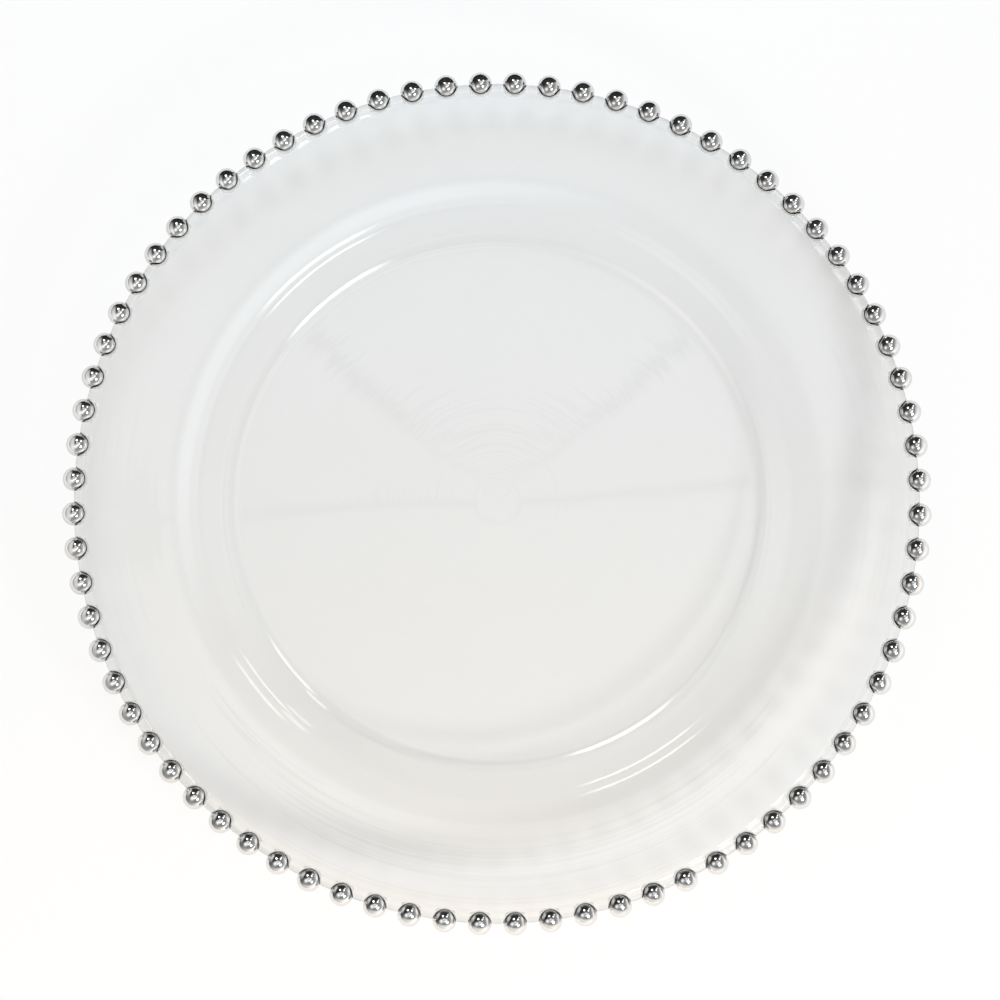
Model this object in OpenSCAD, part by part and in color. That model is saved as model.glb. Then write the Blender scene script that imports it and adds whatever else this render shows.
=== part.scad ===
// Charger plate of clear pressed glass with a ring of silvered beads set in its edge.
// Millimetres, +Z up. The plate stands on Z = 0 and its axis of revolution is the Z axis.

/* [Glass plate] */
// Diameter of the glass over its rounded edge, without the beads
plate_d = 321; // [300:1:340]
// Thickness of the glass in the base
base_t = 5.4; // [4:0.1:7]
// Thickness of the glass in the wall of the well
wall_t = 4.8; // [4:0.1:6.5]
// Thickness of the glass in the rim
rim_t = 4.4; // [3.5:0.1:6]
// Rise of the rim from the shoulder to the outer edge
rim_rise = 5.5; // [4:0.5:10]
// Radial run of the steeper inner part of the rim, from the shoulder outwards
rim_in_run = 11; // [8:0.5:16]
// Rise of that inner part of the rim
rim_in_rise = 3; // [1.5:0.1:3.5]
// Radius of the rounding between the inner and the outer part of the rim
rim_fillet = 60; // [20:5:80]
// How far the round roll along the outer edge stands proud of each face of the rim
edge_swell = 0.4; // [0.1:0.1:1]

/* [Well] */
// Radius at which the floor of the well would meet its wall without a fillet
floor_r = 101.4; // [90:0.2:110]
// Radial run of the wall from the floor to the shoulder
wall_run = 10.9; // [9:0.1:16]
// Depth of the well from the shoulder down to the floor
well_depth = 9; // [6:0.5:12]
// Radius of the fillet between the floor and the wall
floor_fillet = 8; // [3:0.5:10]
// Radius of the rounding of the shoulder between the wall and the rim
shoulder_fillet = 9; // [7:0.5:12]
// Radius of the rounding under the shoulder
under_fillet = 13; // [5:0.5:14]
// Diameter of the shallow gather mark in the middle of the floor
mark_d = 16; // [8:1:30]
// Depth of the gather mark
mark_depth = 0.3; // [0.1:0.05:0.8]

/* [Foot] */
// Width of the flat ring under the base that the plate stands on
foot_w = 8; // [4:0.5:14]
// Height of the hollow in the underside of the base, at its middle
base_hollow = 0.6; // [0.2:0.1:1.5]

/* [Beads] */
// Diameter of one silvered bead
bead_d = 9; // [6:0.5:10]
// How far a bead reaches into its notch in the edge of the glass
bead_sink = 4.5; // [2.5:0.1:5]
// Clear gap between neighbouring beads, which the number of beads follows
bead_gap = 4.3; // [1.5:0.1:8]
// Least thickness of the clear cement between a bead and its notch
cement_t = 0.2; // [0.1:0.05:0.6]
// Height of the cement round the middle of a bead
cement_h = 2.4; // [1:0.1:3]
// How far the cement stays back from the outer edge of the glass
cement_back = 0.5; // [0.2:0.1:1.5]

/* [Hidden] */
$fn = 96;
// Straight steps in each rounded corner and round the roll of the edge
corner_steps = 8;
edge_steps = 9;
// Straight steps from the middle to the side of the base hollow and the gather mark
dish_steps = 8;
// Groups of neighbouring beads, each kept as one node
bead_groups = 19;

plate_r = plate_d / 2;
mark_r = mark_d / 2;
shoulder_r = floor_r + wall_run;
shoulder_z = base_t + well_depth;

// Directions of the wall and of the two parts of the rim, all pointing outwards and up
wall_dir = unit([wall_run, well_depth]);
rim_in_dir = unit([rim_in_run, rim_in_rise]);
rim_dir = unit([plate_r - shoulder_r - rim_in_run, rim_rise - rim_in_rise]);

// Corners of the upper face before rounding
floor_corner = [floor_r, base_t];
shoulder_corner = [shoulder_r, shoulder_z];
rim_corner = shoulder_corner + [rim_in_run, rim_in_rise];

// The same corners on the lower face, each a glass thickness below
base_corner = meet([0, 0], [1, 0], floor_corner - wall_t * left(wall_dir), wall_dir);
under_corner = meet(base_corner, wall_dir, shoulder_corner - rim_t * left(rim_in_dir), rim_in_dir);
under_rim_corner = meet(under_corner, rim_in_dir, rim_corner - rim_t * left(rim_dir), rim_dir);
base_fillet = floor_fillet + base_t;

// The rounding of the rim ends before the rounding under the shoulder begins
rim_room = norm(under_rim_corner - under_corner) - fillet_reach(under_fillet, wall_dir, rim_in_dir);
under_rim_fillet = min(rim_fillet - rim_t, rim_room / fillet_reach(1, rim_in_dir, rim_dir));

// Ring that touches the table, inside the rounding of the base corner
foot_out = base_corner.x - fillet_reach(base_fillet, [1, 0], wall_dir);
foot_in = foot_out - foot_w;

// Round roll along the outer edge, on the middle of the outer rim's thickness
rim_half = rim_t / 2;
rim_middle = rim_corner - rim_half * left(rim_dir);
edge_r = rim_half + edge_swell;
edge_centre = on_rim(plate_r - edge_r);

// Beads stand on the middle of the rim's thickness, spread evenly round it
bead_r = bead_d / 2;
notch_r = bead_r + cement_t;
bead_centre = on_rim(plate_r + bead_r - bead_sink);
bead_count = round(2 * PI * bead_centre.x / (bead_d + bead_gap));
bead_step = 360 / bead_count;

function bead_name(g) = str("rim_beads_", g < 10 ? "0" : "", g);
function cement_name(g) = str("bead_cement_", g < 10 ? "0" : "", g);

// Number of the first bead of group g, counted round the rim
function first_bead(g) = ceil((g - 1) * bead_count / bead_groups);

function unit(v) = v / norm(v);
function left(d) = [-d.y, d.x];
function cross2(a, b) = a.x * b.y - a.y * b.x;

// Point where the line through p along d meets the line through q along e
function meet(p, d, q, e) = p + d * cross2(q - p, e) / cross2(d, e);

// Point at radius r on the middle of the outer rim's thickness
function on_rim(r) = rim_middle + rim_dir * (r - rim_middle.x) / rim_dir.x;

// Distance from a corner to where a fillet of radius r leaves its sides, which run along d and e
function fillet_reach(r, d, e) = r * tan(abs(asin(cross2(d, e))) / 2);

// Points of a fillet of radius r that turns at corner c from direction d to direction e
function fillet(c, r, d, e) =
    let (
        turn = asin(cross2(d, e)),
        side = sign(turn),
        start = c - fillet_reach(r, d, e) * d,
        centre = start + side * r * left(d),
        first = atan2(-side * left(d).y, -side * left(d).x)
    )
    [for (i = [0 : corner_steps]) centre + r * polar(first + turn * i / corner_steps)];

function polar(a) = [cos(a), sin(a)];
function reverse(list) = [for (i = [len(list) - 1 : -1 : 0]) list[i]];

// Point at distance along outwards from edge_centre and height up off the middle of the rim
function at_edge(along, up) = edge_centre + along * rim_dir + up * left(rim_dir);

// Points round the roll from the upper to the lower face of the rim
edge_points =
    let (turn = 180 - asin(rim_half / edge_r))
    [
        for (i = [0 : edge_steps])
            let (a = turn * (1 - 2 * i / edge_steps))
            at_edge(edge_r * cos(a), edge_r * sin(a))
    ];

// Points of a shallow round dish from its middle, at height z, out to radius r, rising by rise
function dish(r, z, rise) = [
    for (i = [0 : dish_steps])
        let (part = i / dish_steps)
        [r * part, z + rise * (1 - cos(180 * part)) / 2]
];

upper_points = concat(
    dish(mark_r, base_t - mark_depth, mark_depth),
    fillet(floor_corner, floor_fillet, [1, 0], wall_dir),
    fillet(shoulder_corner, shoulder_fillet, wall_dir, rim_in_dir),
    fillet(rim_corner, under_rim_fillet + rim_t, rim_in_dir, rim_dir)
);
lower_points = concat(
    dish(foot_in, base_hollow, -base_hollow),
    fillet(base_corner, base_fillet, [1, 0], wall_dir),
    fillet(under_corner, under_fillet, wall_dir, rim_in_dir),
    fillet(under_rim_corner, under_rim_fillet, rim_in_dir, rim_dir)
);

// Half section of the glass, from the axis to the outer edge
module glass_section() {
    polygon(concat(upper_points, edge_points, reverse(lower_points)));
}

// Half section of the band that the cement keeps to, inside the outer edge
module cement_section() {
    inner_r = bead_centre.x - bead_d;
    translate([inner_r, bead_centre.y - cement_h / 2])
        square([plate_r - cement_back - inner_r, cement_h]);
}

// Puts its children at bead number k, counted round the rim
module at_bead(k) {
    rotate([0, 0, (k + 1 / 2) * bead_step])
        children();
}

// Puts its children at each bead of group g
module at_group(g) {
    for (k = [first_bead(g) : first_bead(g + 1) - 1])
        at_bead(k)
            children();
}

// Upright notch for the bead on the X axis, from the table to the top of the bead
module notch() {
    translate([bead_centre.x, 0, 0])
        cylinder(r = notch_r, h = bead_centre.y + bead_r);
}

// The bead on the X axis
module bead() {
    translate([bead_centre.x, 0, bead_centre.y])
        sphere(r = bead_r);
}

// One clear pressed plate with an upright notch for each bead in its edge
module glass_plate() {
    color([0.88, 0.91, 0.92, 0.4])
        difference() {
            rotate_extrude()
                glass_section();
            for (k = [0 : bead_count - 1])
                at_bead(k)
                    notch();
        }
}

// Neighbouring silvered beads, each a full ball
module rim_beads(g) {
    color("silver")
        at_group(g)
            bead();
}

// Clear cement that holds each bead of a group in its notch
module bead_cement(g) {
    color([0.95, 0.95, 0.93, 0.6])
        at_group(g)
            difference() {
                intersection() {
                    notch();
                    rotate([0, 0, -bead_step / 2])
                        rotate_extrude(angle = bead_step)
                            cement_section();
                }
                bead();
            }
}

glass_plate();
for (g = [1 : bead_groups]) {
    rim_beads(g);
    bead_cement(g);
}
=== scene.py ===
"""Charger plate of clear pressed glass with a ring of silvered beads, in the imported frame, in metres."""

import math

import bpy
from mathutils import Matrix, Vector


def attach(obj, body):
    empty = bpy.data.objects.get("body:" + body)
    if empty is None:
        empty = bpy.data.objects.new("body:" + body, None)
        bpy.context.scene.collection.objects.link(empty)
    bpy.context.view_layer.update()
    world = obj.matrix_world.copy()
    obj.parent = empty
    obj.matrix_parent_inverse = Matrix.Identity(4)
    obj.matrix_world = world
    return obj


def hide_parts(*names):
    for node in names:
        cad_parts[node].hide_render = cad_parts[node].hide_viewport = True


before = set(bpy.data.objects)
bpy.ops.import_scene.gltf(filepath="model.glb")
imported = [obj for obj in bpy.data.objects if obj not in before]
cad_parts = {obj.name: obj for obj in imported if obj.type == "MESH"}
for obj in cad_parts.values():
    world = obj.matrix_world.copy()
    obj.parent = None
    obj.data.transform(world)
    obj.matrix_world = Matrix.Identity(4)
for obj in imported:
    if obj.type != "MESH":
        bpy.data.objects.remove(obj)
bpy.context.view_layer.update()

MM = 0.001

# Sizes of the part, under the names that its source gives them
plate_r = 160.5 * MM
base_t = 5.4 * MM
wall_t = 4.8 * MM
rim_t = 4.4 * MM
rim_rise = 5.5 * MM
rim_in_run = 11 * MM
rim_in_rise = 3 * MM
rim_fillet = 60 * MM
edge_swell = 0.4 * MM
floor_r = 101.4 * MM
wall_run = 10.9 * MM
well_depth = 9 * MM
floor_fillet = 8 * MM
shoulder_fillet = 9 * MM
under_fillet = 13 * MM
mark_r = 8 * MM
mark_depth = 0.3 * MM
foot_w = 8 * MM
base_hollow = 0.6 * MM
bead_r = 4.5 * MM
bead_sink = 4.5 * MM
bead_count = 76
bead_groups = 19
cement_t = 0.2 * MM
cement_h = 2.4 * MM
cement_back = 0.5 * MM

# Fineness of the outline and of the turned shapes
corner_steps = 18
edge_steps = 28
dish_steps = 14
longest_stretch = 5 * MM
plate_steps = 304
band_steps = 608
notch_segments = 64
bead_segments = 44
weld_distance = 0.001 * MM
sharp_angle = math.radians(34)

# Depth by which the cement overlaps the glass and the bead, so that no film of air shows
bedding = 0.02 * MM


def unit(v):
    return v.normalized()


def left(d):
    return Vector((-d.y, d.x))


def cross2(a, b):
    return a.x * b.y - a.y * b.x


def meet(p, d, q, e):
    """Point where the line through p along d meets the line through q along e."""
    return p + d * (cross2(q - p, e) / cross2(d, e))


def fillet_reach(r, d, e):
    """Distance from a corner to where a fillet of radius r leaves its sides, which run along d and e."""
    return r * math.tan(abs(math.asin(cross2(d, e))) / 2)


def fillet(c, r, d, e):
    """Points of a fillet of radius r that turns at corner c from direction d to direction e."""
    turn = math.asin(cross2(d, e))
    side = math.copysign(1, turn)
    centre = c - fillet_reach(r, d, e) * d + side * r * left(d)
    first = math.atan2(-side * left(d).y, -side * left(d).x)
    angles = [first + turn * i / corner_steps for i in range(corner_steps + 1)]
    return [centre + r * Vector((math.cos(a), math.sin(a))) for a in angles]


def dish(r, z, rise):
    """Points of a shallow dish from its middle, at height z, out to radius r, rising by rise."""
    parts = [i / dish_steps for i in range(dish_steps + 1)]
    return [Vector((r * p, z + rise * (1 - math.cos(math.pi * p)) / 2)) for p in parts]


def filled(points):
    """The same line of points with more of them, closer near the ends, on each long stretch."""
    out = [points[0]]
    for a, b in zip(points, points[1:]):
        count = math.ceil((b - a).length / longest_stretch)
        for i in range(1, count):
            share = (1 - math.cos(math.pi * i / count)) / 2
            out.append(a.lerp(b, share))
        out.append(b)
    return out


across = Vector((1, 0))
wall_dir = unit(Vector((wall_run, well_depth)))
rim_in_dir = unit(Vector((rim_in_run, rim_in_rise)))
floor_corner = Vector((floor_r, base_t))
shoulder_corner = floor_corner + Vector((wall_run, well_depth))
rim_corner = shoulder_corner + Vector((rim_in_run, rim_in_rise))
rim_dir = unit(Vector((plate_r - rim_corner.x, rim_rise - rim_in_rise)))
base_corner = meet(Vector((0, 0)), across, floor_corner - wall_t * left(wall_dir), wall_dir)
under_corner = meet(base_corner, wall_dir, shoulder_corner - rim_t * left(rim_in_dir), rim_in_dir)
under_rim_corner = meet(under_corner, rim_in_dir, rim_corner - rim_t * left(rim_dir), rim_dir)
base_fillet = floor_fillet + base_t
under_rim_fillet = rim_fillet - rim_t
foot_in = base_corner.x - fillet_reach(base_fillet, across, wall_dir) - foot_w
rim_half = rim_t / 2
rim_middle = rim_corner - rim_half * left(rim_dir)


def on_rim(r):
    """Point at radius r on the middle of the rim's thickness."""
    return rim_middle + rim_dir * ((r - rim_middle.x) / rim_dir.x)


edge_r = rim_half + edge_swell
edge_centre = on_rim(plate_r - edge_r)
notch_r = bead_r + cement_t
bead_centre = on_rim(plate_r + bead_r - bead_sink)
bead_place = Vector((bead_centre.x, 0, bead_centre.y))


def at_edge(along, up):
    """Point at a distance along the rim from edge_centre and a height off its middle."""
    return edge_centre + along * rim_dir + up * left(rim_dir)


def edge_points():
    """Points round the roll of the edge from the upper to the lower face of the rim."""
    turn = math.pi - math.asin(rim_half / edge_r)
    angles = [turn * (1 - 2 * i / edge_steps) for i in range(edge_steps + 1)]
    return [at_edge(edge_r * math.cos(a), edge_r * math.sin(a)) for a in angles]


upper_points = (
    dish(mark_r, base_t - mark_depth, mark_depth)
    + fillet(floor_corner, floor_fillet, across, wall_dir)
    + fillet(shoulder_corner, shoulder_fillet, wall_dir, rim_in_dir)
    + fillet(rim_corner, rim_fillet, rim_in_dir, rim_dir)
)
lower_points = (
    dish(foot_in, base_hollow, -base_hollow)
    + fillet(base_corner, base_fillet, across, wall_dir)
    + fillet(under_corner, under_fillet, wall_dir, rim_in_dir)
    + fillet(under_rim_corner, under_rim_fillet, rim_in_dir, rim_dir)
)
plate_outline = filled(upper_points + edge_points() + lower_points[::-1])

# Section of the band that the cement keeps to, inside the outer edge
band_in, band_out = bead_centre.x - 2 * bead_r, plate_r - cement_back
band_low, band_high = bead_centre.y - cement_h / 2, bead_centre.y + cement_h / 2
band_outline = [
    Vector((band_in, band_high)),
    Vector((band_out, band_high)),
    Vector((band_out, band_low)),
    Vector((band_in, band_low)),
    Vector((band_in, band_high)),
]


class Tree:
    """A node tree in the making: adds nodes, sets their inputs and links them."""

    def __init__(self, tree):
        self.tree = tree

    def add(self, kind, inputs=None, **settings):
        node = self.tree.nodes.new(kind)
        for name, value in settings.items():
            setattr(node, name, value)
        for name, value in (inputs or {}).items():
            socket = node.inputs[name]
            if isinstance(value, bpy.types.NodeSocket):
                self.tree.links.new(value, socket)
            else:
                socket.default_value = value
        return node

    def link(self, source, target):
        self.tree.links.new(source, target)

    def math(self, operation, a, b=0):
        return self.add("ShaderNodeMath", {0: a, 1: b}, operation=operation).outputs[0]

    def dot(self, a, b):
        node = self.add("ShaderNodeVectorMath", {0: a, 1: b}, operation="DOT_PRODUCT")
        return node.outputs["Value"]

    def rescale(self, value, start, end, curve="LINEAR"):
        """Value carried over from the range start to the range end, and held inside it."""
        limits = {"From Min": start[0], "From Max": start[1], "To Min": end[0], "To Max": end[1]}
        node = self.add("ShaderNodeMapRange", {"Value": value, **limits}, interpolation_type=curve)
        return node.outputs[0]


SOCKETS = {
    "int": "NodeSocketInt",
    "float": "NodeSocketFloat",
    "place": "NodeSocketVector",
    "material": "NodeSocketMaterial",
}


def shape_tree(name, inputs):
    """Empty shape tree with a geometry input and output and the named inputs."""
    group = bpy.data.node_groups.new(name, "GeometryNodeTree")
    face = group.interface
    face.new_socket(name="Outline", in_out="INPUT", socket_type="NodeSocketGeometry")
    for label, kind in inputs.items():
        face.new_socket(name=label, in_out="INPUT", socket_type=SOCKETS[kind])
    face.new_socket(name="Shape", in_out="OUTPUT", socket_type="NodeSocketGeometry")
    tree = Tree(group)
    return tree, tree.add("NodeGroupInput").outputs


def turned(tree, outline, steps):
    """Nodes that turn a line of points about the Z axis into a closed skin."""
    count = tree.add("GeometryNodeAttributeDomainSize", {"Geometry": outline}).outputs["Point Count"]
    across_steps = tree.math("ADD", steps, 1)
    grid = tree.add("GeometryNodeMeshGrid", {"Vertices X": count, "Vertices Y": across_steps})
    index = tree.add("GeometryNodeInputIndex").outputs[0]
    row = tree.math("FLOOR", tree.math("DIVIDE", tree.math("ADD", index, 0.5), across_steps))
    column = tree.math("SUBTRACT", index, tree.math("MULTIPLY", row, across_steps))
    place = tree.add("GeometryNodeInputPosition").outputs[0]
    sample = tree.add(
        "GeometryNodeSampleIndex",
        {"Geometry": outline, "Value": place, "Index": row},
        data_type="FLOAT_VECTOR",
        domain="POINT",
    )
    angle = tree.math("MULTIPLY", tree.math("DIVIDE", column, steps), 2 * math.pi)
    spun = tree.add(
        "ShaderNodeVectorRotate", {"Vector": sample.outputs[0], "Angle": angle}, rotation_type="Z_AXIS"
    )
    skin = tree.add(
        "GeometryNodeSetPosition", {"Geometry": grid.outputs["Mesh"], "Position": spun.outputs[0]}
    )
    merged = tree.add(
        "GeometryNodeMergeByDistance", {"Geometry": skin.outputs[0], "Distance": weld_distance}
    )
    return merged.outputs[0]


def moved(tree, shape, place):
    """Nodes that move a shape to a place."""
    node = tree.add("GeometryNodeTransform", {"Geometry": shape, "Translation": place})
    return node.outputs[0]


def ball(tree, radius, place, segments):
    """Nodes of a ball at the place of the first bead."""
    rings = tree.math("DIVIDE", segments, 2)
    sphere = tree.add("GeometryNodeMeshUVSphere", {"Segments": segments, "Rings": rings, "Radius": radius})
    return moved(tree, sphere.outputs["Mesh"], place)


def peg(tree, radius, place, segments):
    """Nodes of an upright cylinder through the place of the first bead, taller than the rim is thick."""
    body = tree.add(
        "GeometryNodeMeshCylinder",
        {"Vertices": segments, "Radius": radius, "Depth": 4 * bead_r},
        fill_type="NGON",
    )
    return moved(tree, body.outputs["Mesh"], place)


def spread(tree, shape, count):
    """Nodes that copy a shape round the Z axis, the first copy half a step from where it stands."""
    points = tree.add("GeometryNodePoints", {"Count": count}).outputs[0]
    index = tree.add("GeometryNodeInputIndex").outputs[0]
    angle = tree.math("MULTIPLY", tree.math("DIVIDE", tree.math("ADD", index, 0.5), count), 2 * math.pi)
    euler = tree.add("ShaderNodeCombineXYZ", {"Z": angle}).outputs[0]
    turn = tree.add("FunctionNodeEulerToRotation", {"Euler": euler}).outputs[0]
    copies = tree.add("GeometryNodeInstanceOnPoints", {"Points": points, "Instance": shape, "Rotation": turn})
    return tree.add("GeometryNodeRealizeInstances", {"Geometry": copies.outputs[0]}).outputs[0]


def cut(tree, operation, first, second):
    """Nodes that cut one solid with another."""
    node = tree.add("GeometryNodeMeshBoolean", operation=operation, solver="MANIFOLD")
    first_socket = "Mesh 1" if operation == "DIFFERENCE" else "Mesh 2"
    tree.link(first, node.inputs[first_socket])
    tree.link(second, node.inputs["Mesh 2"])
    return node.outputs["Mesh"]


def finish_shape(tree, shape, surface):
    """Nodes that smooth all but the sharp edges and set the material."""
    smooth = tree.add("GeometryNodeSetShadeSmooth", {"Geometry": shape}, domain="FACE").outputs[0]
    angle = tree.add("GeometryNodeInputMeshEdgeAngle").outputs["Unsigned Angle"]
    sharp = tree.add(
        "FunctionNodeCompare", {0: angle, 1: sharp_angle}, data_type="FLOAT", operation="GREATER_THAN"
    )
    split = tree.add(
        "GeometryNodeSetShadeSmooth",
        {"Geometry": smooth, "Selection": sharp.outputs[0], "Shade Smooth": False},
        domain="EDGE",
    )
    done = tree.add("GeometryNodeSetMaterial", {"Geometry": split.outputs[0], "Material": surface})
    tree.add("NodeGroupOutput", {"Shape": done.outputs[0]})
    return tree.tree


def plate_tree():
    """Turned plate with an upright notch for each bead in its edge."""
    tree, given = shape_tree(
        "pressed_plate",
        {
            "Steps": "int",
            "Bead Count": "int",
            "Bead Place": "place",
            "Notch Radius": "float",
            "Notch Segments": "int",
            "Material": "material",
        },
    )
    skin = turned(tree, given["Outline"], given["Steps"])
    notch = peg(tree, given["Notch Radius"], given["Bead Place"], given["Notch Segments"])
    notches = spread(tree, notch, given["Bead Count"])
    return finish_shape(tree, cut(tree, "DIFFERENCE", skin, notches), given["Material"])


def bead_tree():
    """Ring of beads, each a full ball."""
    tree, given = shape_tree(
        "bead_ring",
        {
            "Bead Count": "int",
            "Bead Place": "place",
            "Bead Radius": "float",
            "Bead Segments": "int",
            "Material": "material",
        },
    )
    bead = ball(tree, given["Bead Radius"], given["Bead Place"], given["Bead Segments"])
    return finish_shape(tree, spread(tree, bead, given["Bead Count"]), given["Material"])


def cement_tree():
    """Ring of cement beds, each the part of the band that lies between a notch and its bead."""
    tree, given = shape_tree(
        "cement_ring",
        {
            "Steps": "int",
            "Bead Count": "int",
            "Bead Place": "place",
            "Outer Radius": "float",
            "Inner Radius": "float",
            "Notch Segments": "int",
            "Material": "material",
        },
    )
    band = turned(tree, given["Outline"], given["Steps"])
    outer = peg(tree, given["Outer Radius"], given["Bead Place"], given["Notch Segments"])
    inner = ball(tree, given["Inner Radius"], given["Bead Place"], given["Notch Segments"])
    shell = cut(tree, "DIFFERENCE", cut(tree, "INTERSECT", band, outer), inner)
    return finish_shape(tree, spread(tree, shell, given["Bead Count"]), given["Material"])


def make_piece(name, outline, tree, values, nodes):
    """Makes a piece whose shape tree is run on the outline and kept as a plain mesh."""
    mesh = bpy.data.meshes.new(name)
    mesh.from_pydata([(p.x, 0, p.y) for p in outline], [], [])
    piece = bpy.data.objects.new(name, mesh)
    bpy.context.scene.collection.objects.link(piece)
    modifier = piece.modifiers.new("shape", "NODES")
    modifier.node_group = tree
    for item in tree.interface.items_tree:
        if item.in_out == "INPUT" and item.name in values:
            modifier[item.identifier] = values[item.name]
    graph = bpy.context.evaluated_depsgraph_get()
    made = bpy.data.meshes.new_from_object(piece.evaluated_get(graph), depsgraph=graph)
    piece.modifiers.clear()
    piece.data = made
    bpy.data.meshes.remove(mesh)
    made.name = name
    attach(piece, "root")
    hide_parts(*nodes)


def material(name):
    """New node material and its tree, with only the output node."""
    made = bpy.data.materials.new(name)
    made.use_nodes = True
    made.node_tree.nodes.clear()
    tree = Tree(made.node_tree)
    return made, tree, tree.add("ShaderNodeOutputMaterial")


def noise(tree, scale, detail):
    """Soft mottling through the piece, with most values between 0.3 and 0.7."""
    place = tree.add("ShaderNodeTexCoord").outputs["Object"]
    inputs = {"Vector": place, "Scale": scale, "Detail": detail}
    return tree.add("ShaderNodeTexNoise", inputs, noise_dimensions="3D").outputs[0]


def ranged(tree, value, low, high):
    """Noise value spread over a range."""
    return tree.rescale(value, (0.3, 0.7), (low, high))


def blend(tree, share, a, b):
    """Colour between the colours a and b."""
    node = tree.add("ShaderNodeMix", {"Factor": share}, data_type="RGBA")
    colours = [socket for socket in node.inputs if socket.type == "RGBA"]
    for socket, value in zip(colours, (a, b)):
        socket.default_value = (*value, 1)
    return [socket for socket in node.outputs if socket.type == "RGBA"][0]


def radius_in(tree):
    """Distance from the Z axis."""
    place = tree.add("ShaderNodeTexCoord").outputs["Object"]
    level = tree.add("ShaderNodeVectorMath", {0: place, 1: (1, 1, 0)}, operation="MULTIPLY")
    return tree.add("ShaderNodeVectorMath", {0: level.outputs[0]}, operation="LENGTH").outputs["Value"]


def see_through(tree, output, solid, tint):
    """Lets shadow and bounce rays pass straight through a clear solid, fewer at a slant."""
    path = tree.add("ShaderNodeLightPath").outputs
    passing = tree.math("MAXIMUM", path["Is Shadow Ray"], path["Is Diffuse Ray"])
    slant = tree.add("ShaderNodeLayerWeight", {"Blend": 0.5}).outputs["Facing"]
    passed = blend(tree, tree.math("POWER", slant, 6), tint, (0, 0, 0))
    clear = tree.add("ShaderNodeBsdfTransparent", {"Color": passed})
    mixed = tree.add("ShaderNodeMixShader", {0: passing, 1: solid, 2: clear.outputs[0]})
    tree.link(mixed.outputs[0], output.inputs["Surface"])


clear_index = 1.5
wave_depth = 0.05 * MM
turning_depth = 0.03 * MM


def glass_material():
    """Clear glass with a faint film, soft waves from pressing and fine rings from turning."""
    made, tree, output = material("clear_pressed_glass")
    tint = blend(tree, noise(tree, 9, 2), (0.922, 0.931, 0.931), (0.942, 0.946, 0.941))
    film = ranged(tree, noise(tree, 26, 4), 0.0, 0.03)
    waves = tree.add("ShaderNodeBump", {"Height": noise(tree, 22, 1), "Distance": wave_depth})
    turning = tree.add(
        "ShaderNodeTexNoise",
        {"W": radius_in(tree), "Scale": 160, "Detail": 2, "Roughness": 0.6},
        noise_dimensions="1D",
    )
    bump = tree.add(
        "ShaderNodeBump",
        {"Height": turning.outputs[0], "Distance": turning_depth, "Normal": waves.outputs[0]},
    )
    solid = tree.add(
        "ShaderNodeBsdfPrincipled",
        {
            "Base Color": tint,
            "Roughness": film,
            "IOR": clear_index,
            "Transmission Weight": 1,
            "Normal": bump.outputs[0],
        },
    )
    see_through(tree, output, solid.outputs[0], (0.945, 0.95, 0.95))
    return made


def silver_material():
    """Bright silvering, a little uneven and hazy."""
    made, tree, output = material("bright_silvering")
    tone = blend(tree, noise(tree, 160, 3), (0.75, 0.75, 0.74), (0.84, 0.84, 0.83))
    haze = ranged(tree, noise(tree, 240, 3), 0.08, 0.16)
    solid = tree.add(
        "ShaderNodeBsdfPrincipled", {"Base Color": tone, "Roughness": haze, "Metallic": 1}
    )
    tree.link(solid.outputs[0], output.inputs["Surface"])
    return made


def cement_material():
    """Clear cement with a fine grain."""
    made, tree, output = material("clear_bead_cement")
    tone = blend(tree, noise(tree, 300, 2), (0.90, 0.90, 0.88), (0.96, 0.96, 0.95))
    grain = ranged(tree, noise(tree, 900, 2), 0.02, 0.12)
    solid = tree.add(
        "ShaderNodeBsdfPrincipled",
        {"Base Color": tone, "Roughness": grain, "IOR": clear_index, "Transmission Weight": 1},
    )
    see_through(tree, output, solid.outputs[0], (0.93, 0.93, 0.92))
    return made


def matt(tree, scale, detail, dark, pale):
    """Matt shader with a mottled tone."""
    tone = blend(tree, noise(tree, scale, detail), dark, pale)
    return tree.add("ShaderNodeBsdfDiffuse", {"Color": tone}).outputs[0]


# Share of plain white in the floor, as the camera sees it and as it shows in and through the part
camera_white = 0.88
mirrored_white = 0.4


def floor_material():
    """Plain pale paper, nearly white to the camera and partly so in and through the part."""
    made, tree, output = material("pale_floor")
    paper = matt(tree, 3, 2, (0.80, 0.80, 0.80), (0.82, 0.82, 0.82))
    white = tree.add("ShaderNodeEmission", {"Color": (1, 1, 1, 1), "Strength": 1})
    path = tree.add("ShaderNodeLightPath").outputs
    seen = tree.math("MULTIPLY", path["Is Camera Ray"], camera_white)
    in_part = tree.math("MAXIMUM", path["Is Glossy Ray"], path["Is Transmission Ray"])
    share = tree.math("MAXIMUM", seen, tree.math("MULTIPLY", in_part, mirrored_white))
    mixed = tree.add("ShaderNodeMixShader", {0: share, 1: paper, 2: white.outputs[0]})
    tree.link(mixed.outputs[0], output.inputs["Surface"])
    return made


def cloth_material():
    """Dark matt cloth."""
    made, tree, output = material("dark_card_cloth")
    cloth = matt(tree, 40, 3, (0.015, 0.016, 0.018), (0.03, 0.03, 0.032))
    tree.link(cloth, output.inputs["Surface"])
    return made


group_names = [f"{g:02d}" for g in range(1, bead_groups + 1)]

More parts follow.
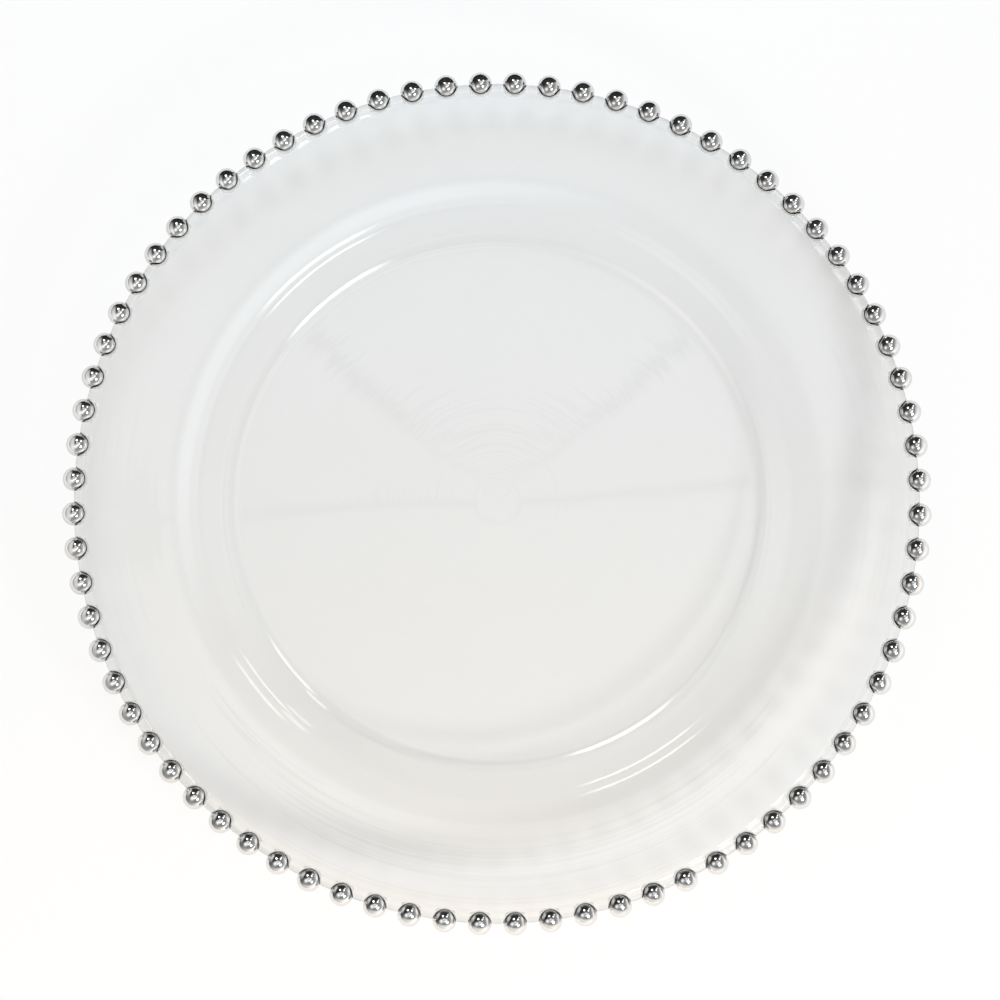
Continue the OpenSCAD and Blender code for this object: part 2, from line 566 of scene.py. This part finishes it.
make_piece(
    "pressed_glass_plate",
    plate_outline,
    plate_tree(),
    {
        "Steps": plate_steps,
        "Bead Count": bead_count,
        "Bead Place": bead_place,
        "Notch Radius": notch_r,
        "Notch Segments": notch_segments,
        "Material": glass_material(),
    },
    ["glass_plate"],
)
make_piece(
    "silvered_beads",
    [],
    bead_tree(),
    {
        "Bead Count": bead_count,
        "Bead Place": bead_place,
        "Bead Radius": bead_r,
        "Bead Segments": bead_segments,
        "Material": silver_material(),
    },
    ["rim_beads_" + g for g in group_names],
)
make_piece(
    "cement_beds",
    band_outline,
    cement_tree(),
    {
        "Steps": band_steps,
        "Bead Count": bead_count,
        "Bead Place": bead_place,
        "Outer Radius": notch_r + bedding,
        "Inner Radius": bead_r - bedding,
        "Notch Segments": notch_segments,
        "Material": cement_material(),
    },
    ["bead_cement_" + g for g in group_names],
)


def sheet(name, corners, surface):
    """Flat four-cornered sheet of the staging."""
    mesh = bpy.data.meshes.new(name)
    mesh.from_pydata(corners, [], [(0, 1, 2, 3)])
    mesh.materials.append(surface)
    staged = bpy.data.objects.new(name, mesh)
    bpy.context.scene.collection.objects.link(staged)
    return staged


# Floor, a hair below the foot ring so that the two don't share a plane
floor_half = 8
floor_drop = 0.05 * MM
floor = sheet(
    "floor",
    [
        (-floor_half, -floor_half, 0),
        (floor_half, -floor_half, 0),
        (floor_half, floor_half, 0),
        (-floor_half, floor_half, 0),
    ],
    floor_material(),
)
floor.location.z = -floor_drop

# Dark cloth standing behind the plate, seen only in and through the part
cloth_left = -0.35
cloth_right = 0.17
cloth_y = 0.27
cloth_top = 0.21
dark_card = sheet(
    "dark_card",
    [
        (cloth_left, cloth_y, 0),
        (cloth_right, cloth_y, 0),
        (cloth_right, cloth_y, cloth_top),
        (cloth_left, cloth_y, cloth_top),
    ],
    cloth_material(),
)
dark_card.visible_camera = False
dark_card.visible_diffuse = False
dark_card.visible_shadow = False


def card(name, place, aim, width, height, radiance, tint, soft=0.25):
    """Flat light that faces aim and fades towards its sides, over the share soft of its width."""
    data = bpy.data.lights.new(name, "AREA")
    data.shape = "RECTANGLE"
    data.size = width
    data.size_y = height
    data.energy = radiance * math.pi * width * height
    data.use_nodes = True
    data.node_tree.nodes.clear()
    glow = Tree(data.node_tree)
    face_place = glow.add("ShaderNodeNewGeometry").outputs["Parametric"]
    across_face = glow.add("ShaderNodeSeparateXYZ", {0: face_place}).outputs
    fades = []
    for axis in ("X", "Y"):
        offset = glow.math("ABSOLUTE", glow.math("SUBTRACT", across_face[axis], 0.5))
        fades.append(glow.rescale(offset, (0.5, 0.5 - soft), (0, 1), "SMOOTHSTEP"))
    strength = glow.math("MULTIPLY", fades[0], fades[1])
    shine = glow.add("ShaderNodeEmission", {"Color": (*tint, 1), "Strength": strength})
    glow.add("ShaderNodeOutputLight", {"Surface": shine.outputs[0]})
    lamp = bpy.data.objects.new(name, data)
    lamp.location = place
    lamp.rotation_mode = "QUATERNION"
    lamp.rotation_quaternion = (Vector(aim) - Vector(place)).to_track_quat("-Z", "Y")
    lamp.visible_camera = False
    bpy.context.scene.collection.objects.link(lamp)
    return lamp


def direction(azimuth, zenith):
    """Unit vector at a bearing and an angle from straight up, in degrees."""
    a, z = math.radians(azimuth), math.radians(zenith)
    return Vector((math.sin(z) * math.cos(a), math.sin(z) * math.sin(a), math.cos(z)))


def softbox(name, azimuth, zenith, distance, width, height, radiance, tint):
    """Card at a bearing and an angle from straight up, aimed at the plate."""
    return card(name, distance * direction(azimuth, zenith), (0, 0, 0), width, height, radiance, tint)


# Lamps that light the plate and show in it
near = 1.3
far = 1.8
softbox("softbox_back_left", 112, 38, near, 0.34, 0.34, 8, (1, 0.97, 0.90))
softbox("softbox_front_right", -44.6, 40, near, 0.54, 0.34, 8, (0.94, 0.97, 1))
softbox("softbox_back_right", 47, 42, near, 0.24, 0.34, 5, (1, 0.98, 0.94))
softbox("strip_back_right", 53, 64, near, 0.14, 0.44, 3, (1, 1, 1))
card("card_front_left", (-0.28, -0.22, 0.50), (-0.12, -0.08, 0), 0.55, 0.62, 1.1, (1, 0.98, 0.95), 0.5)

# Low cards beside the plate, which the beads mirror and the floor doesn't catch
bounces = [
    card("bounce_front", (0, -0.215, 0.045), (0, 0, 0.045), 0.42, 0.09, 0.6, (1, 0.94, 0.88), 0.45),
    card("bounce_left", (-0.215, 0.03, 0.07), (0, 0.03, 0.07), 0.42, 0.17, 0.8, (1, 0.985, 0.97), 0.45),
    card("bounce_right", (0.22, -0.05, 0.045), (0, -0.05, 0.045), 0.40, 0.10, 0.55, (1, 0.95, 0.90), 0.45),
]
for bounce in bounces:
    bounce.visible_diffuse = False

# Lamps that light the floor, warm in front and cool behind, and don't show in the part
fills = [
    softbox("fill_overhead", 25, 6, far, 0.8, 0.8, 1.0, (1, 1, 1)),
    softbox("fill_low_right", -54, 67, near, 0.45, 0.14, 112, (1, 0.99, 0.98)),
    card("fill_front", (-0.04, -0.42, 0.30), (0, -0.10, 0), 0.5, 0.25, 4.4, (1, 0.68, 0.34)),
    card("fill_back", (-0.04, 0.42, 0.30), (0, 0.10, 0), 0.5, 0.25, 3.1, (0.60, 0.86, 1.12)),
]
for fill in fills:
    fill.visible_glossy = False
    fill.visible_transmission = False

# Surroundings: paler near the horizon, dark at the back left and bright low at the right
world = bpy.data.worlds.new("studio")
world.use_nodes = True
world.node_tree.nodes.clear()
sky = Tree(world.node_tree)
way = sky.add("ShaderNodeTexCoord").outputs["Generated"]
toward = sky.add("ShaderNodeSeparateXYZ", {0: way}).outputs
dark_side = (-0.57, 0.82, 0)
bright_side = (0.9, -0.43, 0)
height_level = sky.rescale(toward["Z"], (0.05, 0.75), (0.42, 0.27))
dark_share = sky.rescale(sky.dot(way, dark_side), (-0.1, 0.55), (1, 0.1))
bright_level = sky.rescale(sky.dot(way, bright_side), (0.2, 0.8), (0, 0.42))
low_share = sky.rescale(toward["Z"], (0.1, 0.6), (1, 0))
round_level = sky.math("MULTIPLY", height_level, dark_share)
side_level = sky.math("MULTIPLY", bright_level, low_share)
level = sky.math("ADD", round_level, side_level)
light = sky.add("ShaderNodeCombineXYZ", {"X": level, "Y": level, "Z": level}).outputs[0]


def within(centre, inner, outer):
    """One inside an angle from a direction, fading to zero at a wider angle."""
    start = (math.cos(math.radians(outer)), math.cos(math.radians(inner)))
    return sky.rescale(sky.dot(way, centre), start, (0, 1), "SMOOTHSTEP")


def lit(base, share, radiance):
    """Light base with a share of a radiance added."""
    scaled = sky.add("ShaderNodeVectorMath", {0: radiance, 3: share}, operation="SCALE")
    return sky.add("ShaderNodeVectorMath", {0: base, 1: scaled.outputs[0]}, operation="ADD").outputs[0]


# Overhead panel, brighter towards the back, with a seam across it and the line of a hoop
overhead = direction(88, 8)
seam_slope = 0.067
seam_y = 0.121
across_seam = sky.math("SUBTRACT", toward["Y"], sky.math("MULTIPLY", toward["X"], seam_slope))
from_seam = sky.math("ABSOLUTE", sky.math("SUBTRACT", across_seam, seam_y))
seam = sky.rescale(from_seam, (0.0005, 0.003), (0.35, 1), "SMOOTHSTEP")
hoop = direction(87, 11.9)
hoop_line = sky.math("SUBTRACT", within(hoop, 3.75, 4.05), within(hoop, 3.45, 3.75))
hoop_share = sky.math("SUBTRACT", 1, sky.math("MULTIPLY", hoop_line, 0.95))
rising = sky.rescale(toward["Y"], (0.05, 0.2), (0.7, 1.3))
panel = sky.math("MULTIPLY", sky.math("MULTIPLY", within(overhead, 6, 16), seam), rising)
light = lit(light, sky.math("MULTIPLY", panel, hoop_share), (0.62, 0.62, 0.62))

# Cool crescent in front and to the right of the panel
ring = sky.math("SUBTRACT", within(overhead, 24, 32), within(overhead, 12, 19))
crescent = sky.math("MULTIPLY", ring, within(direction(-32, 26), 14, 32))
light = lit(light, crescent, (1.15, 1.25, 1.35))

shade = sky.add("ShaderNodeBackground", {"Color": light, "Strength": 1})
sky.add("ShaderNodeOutputWorld", {"Surface": shade.outputs[0]})
bpy.context.scene.world = world

# Camera as in the photograph: high above the ring of beads, a little in front and to the left
camera_x = -12.36 * MM
camera_y = -148.79 * MM
camera_rise = 1205.02 * MM
camera_pitch = math.radians(6.986)
camera_roll = math.radians(-0.633)
camera_data = bpy.data.cameras.new("camera")
camera_data.sensor_width = 36
camera_data.lens = 115.2
camera = bpy.data.objects.new("camera", camera_data)
camera.location = (camera_x, camera_y, bead_centre.y + camera_rise)
camera.rotation_euler = (camera_pitch, camera_roll, 0)
bpy.context.scene.collection.objects.link(camera)
bpy.context.scene.camera = camera
bpy.context.scene.view_settings.view_transform = "Standard"
